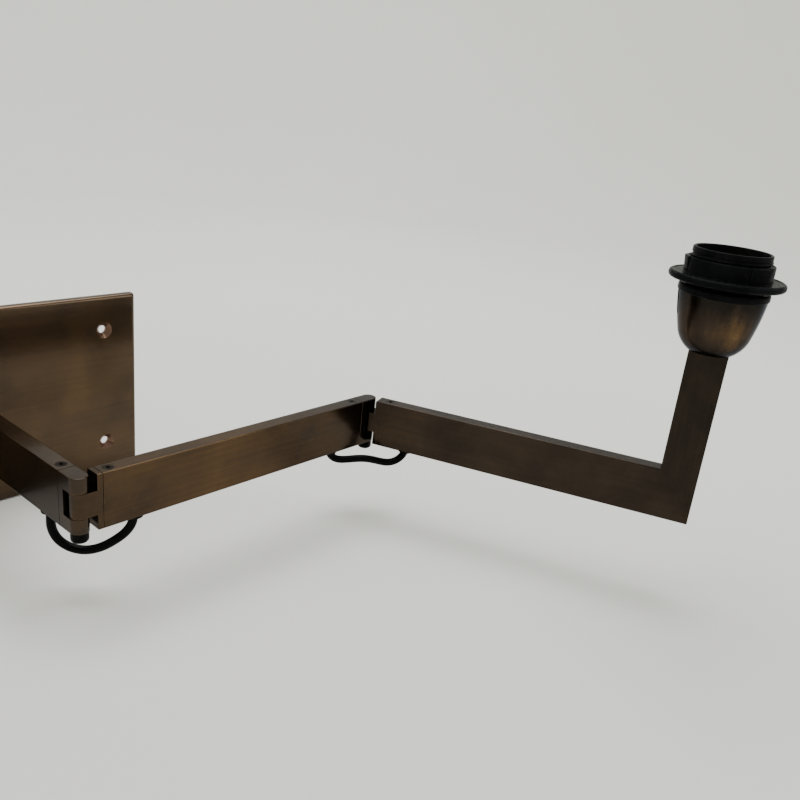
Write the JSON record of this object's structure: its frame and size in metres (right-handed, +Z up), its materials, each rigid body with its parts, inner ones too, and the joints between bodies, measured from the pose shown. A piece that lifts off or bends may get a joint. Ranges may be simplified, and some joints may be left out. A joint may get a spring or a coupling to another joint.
{
  "type": "swing arm wall sconce",
  "caption": "Wall lamp bracket with a flat rectangular backplate, hinged rectangular-tube arms that swing level, a short post and a bulb holder with a shade ring.",
  "frame": {"origin": "Centre of the backplate's back face, in the wall plane, at the middle height of the arms and at the centre of the wall screws", "axes": "+Z up, +Y into the wall, -Y out into the room, +X to the right of someone who faces the wall"},
  "size_m": [0.407, 0.3574, 0.2032],
  "materials": {
    "bronze": "dark antique bronze patina, polished and lacquered",
    "dark_steel": "bronzed steel",
    "steel": "zinc plated",
    "brass": "plain machined brass",
    "rubber": "matt black rubber",
    "black_metal": "satin black",
    "lead": "black sheathed flexible lead",
    "black_plastic": "black thermoset moulding, semi-gloss"
  },
  "bodies": {
    "base": {"backplate": "bronze", "inlet_bush": "rubber", "stub_block": "steel", "upper_block_screw": "steel", "lower_block_screw": "steel", "stub_tube": "bronze", "inner_knuckle_fork": "bronze", "inner_knuckle_pin": "steel", "inner_knuckle_cap": "black_metal", "inner_knuckle_lower_washer": "brass", "inner_knuckle_upper_washer": "brass", "inner_knuckle_fork_screw": "dark_steel", "inner_knuckle_fork_gland": "rubber", "stub_lead": "lead", "inner_loop": "lead"},
    "inner_arm": {"inner_knuckle_tongue": "bronze", "inner_knuckle_bush": "brass", "inner_knuckle_tongue_screw": "dark_steel", "inner_knuckle_tongue_gland": "rubber", "inner_arm_tube": "bronze", "inner_arm_lead": "lead", "outer_knuckle_fork": "bronze", "outer_knuckle_pin": "steel", "outer_knuckle_cap": "black_metal", "outer_knuckle_lower_washer": "brass", "outer_knuckle_upper_washer": "brass", "outer_knuckle_fork_screw": "dark_steel", "outer_knuckle_fork_gland": "rubber", "outer_loop": "lead"},
    "outer_arm": {"outer_knuckle_tongue": "bronze", "outer_knuckle_bush": "brass", "outer_knuckle_tongue_screw": "dark_steel", "outer_knuckle_tongue_gland": "rubber", "outer_arm_tube": "bronze", "post_tube": "bronze", "outer_arm_lead": "lead", "post_head": "bronze", "lamp_cup": "bronze", "cup_nut": "steel", "lamp_insert": "black_plastic", "left_terminal_screw": "brass", "right_terminal_screw": "brass", "screw_shell": "brass", "centre_contact": "brass", "lamp_sleeve": "black_plastic"},
    "shade_ring": {"shade_ring": "black_plastic"}
  },
  "joints": [
    {"name": "inner_swing", "type": "hinge", "parent": "base", "child": "inner_arm", "pos_m": [0, -0.139, 0], "axis": [0, 0, 1], "range_deg": [-187, 9], "deforming": ["inner_loop"]},
    {"name": "outer_swing", "type": "hinge", "parent": "inner_arm", "child": "outer_arm", "pos_m": [0.19857, -0.14247, 0], "axis": [0, 0, 1], "range_deg": [-28, 168], "deforming": ["outer_loop"]},
    {"name": "ring_turn", "type": "hinge", "parent": "outer_arm", "child": "shade_ring", "pos_m": [0.26235, -0.32769, 0.1304], "axis": [0, 0, 1], "continuous": true}
  ]
}
